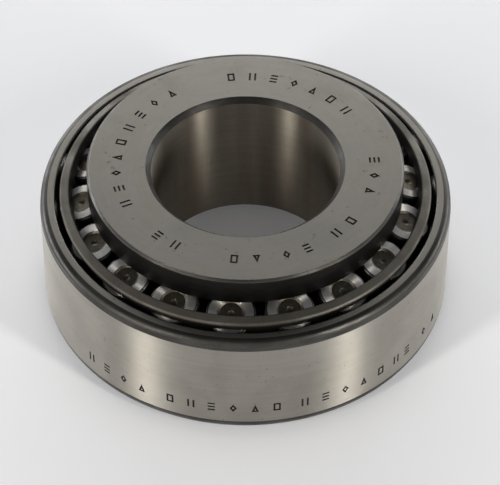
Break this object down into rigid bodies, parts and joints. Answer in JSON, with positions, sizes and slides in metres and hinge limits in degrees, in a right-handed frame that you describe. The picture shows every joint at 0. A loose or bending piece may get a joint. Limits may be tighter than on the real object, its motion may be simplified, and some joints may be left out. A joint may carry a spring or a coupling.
{
  "type": "tapered roller bearing",
  "caption": "Tapered roller bearing: outer cup, inner cone with large rib, pressed cage and tapered rollers that roll between the two raceways.",
  "frame": {"origin": "on the bearing axis, in the plane of the cup's back face", "axes": "+Z along the bearing axis, from the cup's back face towards the cone's back face; X and Y are equal"},
  "size_m": [0.073, 0.073, 0.0294],
  "materials": {
    "cup_steel": "ground, with darker unground corners",
    "cone_steel": "ground faces and bore, dark unground rib rim",
    "cage_steel": "pressed sheet, oiled, dull",
    "roller_steel": "superfinished, bright"
  },
  "bodies": {
    "cup": {"cup": "cup_steel"},
    "cone": {"cone": "cone_steel"},
    "cage": {"cage": "cage_steel"},
    "roller_01": {"roller_01": "roller_steel"},
    "roller_02": {"roller_02": "roller_steel"},
    "roller_03": {"roller_03": "roller_steel"},
    "roller_04": {"roller_04": "roller_steel"},
    "roller_05": {"roller_05": "roller_steel"},
    "roller_06": {"roller_06": "roller_steel"},
    "roller_07": {"roller_07": "roller_steel"},
    "roller_08": {"roller_08": "roller_steel"},
    "roller_09": {"roller_09": "roller_steel"},
    "roller_10": {"roller_10": "roller_steel"},
    "roller_11": {"roller_11": "roller_steel"},
    "roller_12": {"roller_12": "roller_steel"},
    "roller_13": {"roller_13": "roller_steel"},
    "roller_14": {"roller_14": "roller_steel"},
    "roller_15": {"roller_15": "roller_steel"},
    "roller_16": {"roller_16": "roller_steel"},
    "roller_17": {"roller_17": "roller_steel"},
    "roller_18": {"roller_18": "roller_steel"}
  },
  "joints": [
    {"name": "cone_spin", "type": "hinge", "parent": "cup", "child": "cone", "pos_m": [0, 0, 0], "axis": [0, 0, 1], "continuous": true},
    {"name": "cage_orbit", "type": "hinge", "parent": "cup", "child": "cage", "pos_m": [0, 0, 0], "axis": [0, 0, 1], "continuous": true},
    {"name": "roller_01_spin", "type": "hinge", "parent": "cage", "child": "roller_01", "pos_m": [0.0265, 0.00241, 0.01456], "axis": [0.2985, 0.0272, 0.954], "continuous": true},
    {"name": "roller_02_spin", "type": "hinge", "parent": "cage", "child": "roller_02", "pos_m": [0.02408, 0.01133, 0.01456], "axis": [0.2712, 0.1276, 0.954], "continuous": true},
    {"name": "roller_03_spin", "type": "hinge", "parent": "cage", "child": "roller_03", "pos_m": [0.01875, 0.01888, 0.01456], "axis": [0.2112, 0.2127, 0.954], "continuous": true},
    {"name": "roller_04_spin", "type": "hinge", "parent": "cage", "child": "roller_04", "pos_m": [0.01116, 0.02416, 0.01456], "axis": [0.1257, 0.2721, 0.954], "continuous": true},
    {"name": "roller_05_spin", "type": "hinge", "parent": "cage", "child": "roller_05", "pos_m": [0.00223, 0.02652, 0.01456], "axis": [0.0251, 0.2987, 0.954], "continuous": true},
    {"name": "roller_06_spin", "type": "hinge", "parent": "cage", "child": "roller_06", "pos_m": [-0.00698, 0.02568, 0.01456], "axis": [-0.0786, 0.2893, 0.954], "continuous": true},
    {"name": "roller_07_spin", "type": "hinge", "parent": "cage", "child": "roller_07", "pos_m": [-0.01534, 0.02175, 0.01456], "axis": [-0.1728, 0.245, 0.954], "continuous": true},
    {"name": "roller_08_spin", "type": "hinge", "parent": "cage", "child": "roller_08", "pos_m": [-0.02185, 0.01519, 0.01456], "axis": [-0.2462, 0.1711, 0.954], "continuous": true},
    {"name": "roller_09_spin", "type": "hinge", "parent": "cage", "child": "roller_09", "pos_m": [-0.02573, 0.0068, 0.01456], "axis": [-0.2898, 0.0766, 0.954], "continuous": true},
    {"name": "roller_10_spin", "type": "hinge", "parent": "cage", "child": "roller_10", "pos_m": [-0.0265, -0.00241, 0.01456], "axis": [-0.2985, -0.0272, 0.954], "continuous": true},
    {"name": "roller_11_spin", "type": "hinge", "parent": "cage", "child": "roller_11", "pos_m": [-0.02408, -0.01133, 0.01456], "axis": [-0.2712, -0.1276, 0.954], "continuous": true},
    {"name": "roller_12_spin", "type": "hinge", "parent": "cage", "child": "roller_12", "pos_m": [-0.01875, -0.01888, 0.01456], "axis": [-0.2112, -0.2127, 0.954], "continuous": true},
    {"name": "roller_13_spin", "type": "hinge", "parent": "cage", "child": "roller_13", "pos_m": [-0.01116, -0.02416, 0.01456], "axis": [-0.1257, -0.2721, 0.954], "continuous": true},
    {"name": "roller_14_spin", "type": "hinge", "parent": "cage", "child": "roller_14", "pos_m": [-0.00223, -0.02652, 0.01456], "axis": [-0.0251, -0.2987, 0.954], "continuous": true},
    {"name": "roller_15_spin", "type": "hinge", "parent": "cage", "child": "roller_15", "pos_m": [0.00698, -0.02568, 0.01456], "axis": [0.0786, -0.2893, 0.954], "continuous": true},
    {"name": "roller_16_spin", "type": "hinge", "parent": "cage", "child": "roller_16", "pos_m": [0.01534, -0.02175, 0.01456], "axis": [0.1728, -0.245, 0.954], "continuous": true},
    {"name": "roller_17_spin", "type": "hinge", "parent": "cage", "child": "roller_17", "pos_m": [0.02185, -0.01519, 0.01456], "axis": [0.2462, -0.1711, 0.954], "continuous": true},
    {"name": "roller_18_spin", "type": "hinge", "parent": "cage", "child": "roller_18", "pos_m": [0.02573, -0.0068, 0.01456], "axis": [0.2898, -0.0766, 0.954], "continuous": true}
  ],
  "couplings": [
    {"joint": "cage_orbit", "follows": "cone_spin", "ratio": 0.42895},
    {"joint": "roller_01_spin", "follows": "cone_spin", "ratio": -3.289},
    {"joint": "roller_02_spin", "follows": "cone_spin", "ratio": -3.289},
    {"joint": "roller_03_spin", "follows": "cone_spin", "ratio": -3.289},
    {"joint": "roller_04_spin", "follows": "cone_spin", "ratio": -3.289},
    {"joint": "roller_05_spin", "follows": "cone_spin", "ratio": -3.289},
    {"joint": "roller_06_spin", "follows": "cone_spin", "ratio": -3.289},
    {"joint": "roller_07_spin", "follows": "cone_spin", "ratio": -3.289},
    {"joint": "roller_08_spin", "follows": "cone_spin", "ratio": -3.289},
    {"joint": "roller_09_spin", "follows": "cone_spin", "ratio": -3.289},
    {"joint": "roller_10_spin", "follows": "cone_spin", "ratio": -3.289},
    {"joint": "roller_11_spin", "follows": "cone_spin", "ratio": -3.289},
    {"joint": "roller_12_spin", "follows": "cone_spin", "ratio": -3.289},
    {"joint": "roller_13_spin", "follows": "cone_spin", "ratio": -3.289},
    {"joint": "roller_14_spin", "follows": "cone_spin", "ratio": -3.289},
    {"joint": "roller_15_spin", "follows": "cone_spin", "ratio": -3.289},
    {"joint": "roller_16_spin", "follows": "cone_spin", "ratio": -3.289},
    {"joint": "roller_17_spin", "follows": "cone_spin", "ratio": -3.289},
    {"joint": "roller_18_spin", "follows": "cone_spin", "ratio": -3.289}
  ]
}
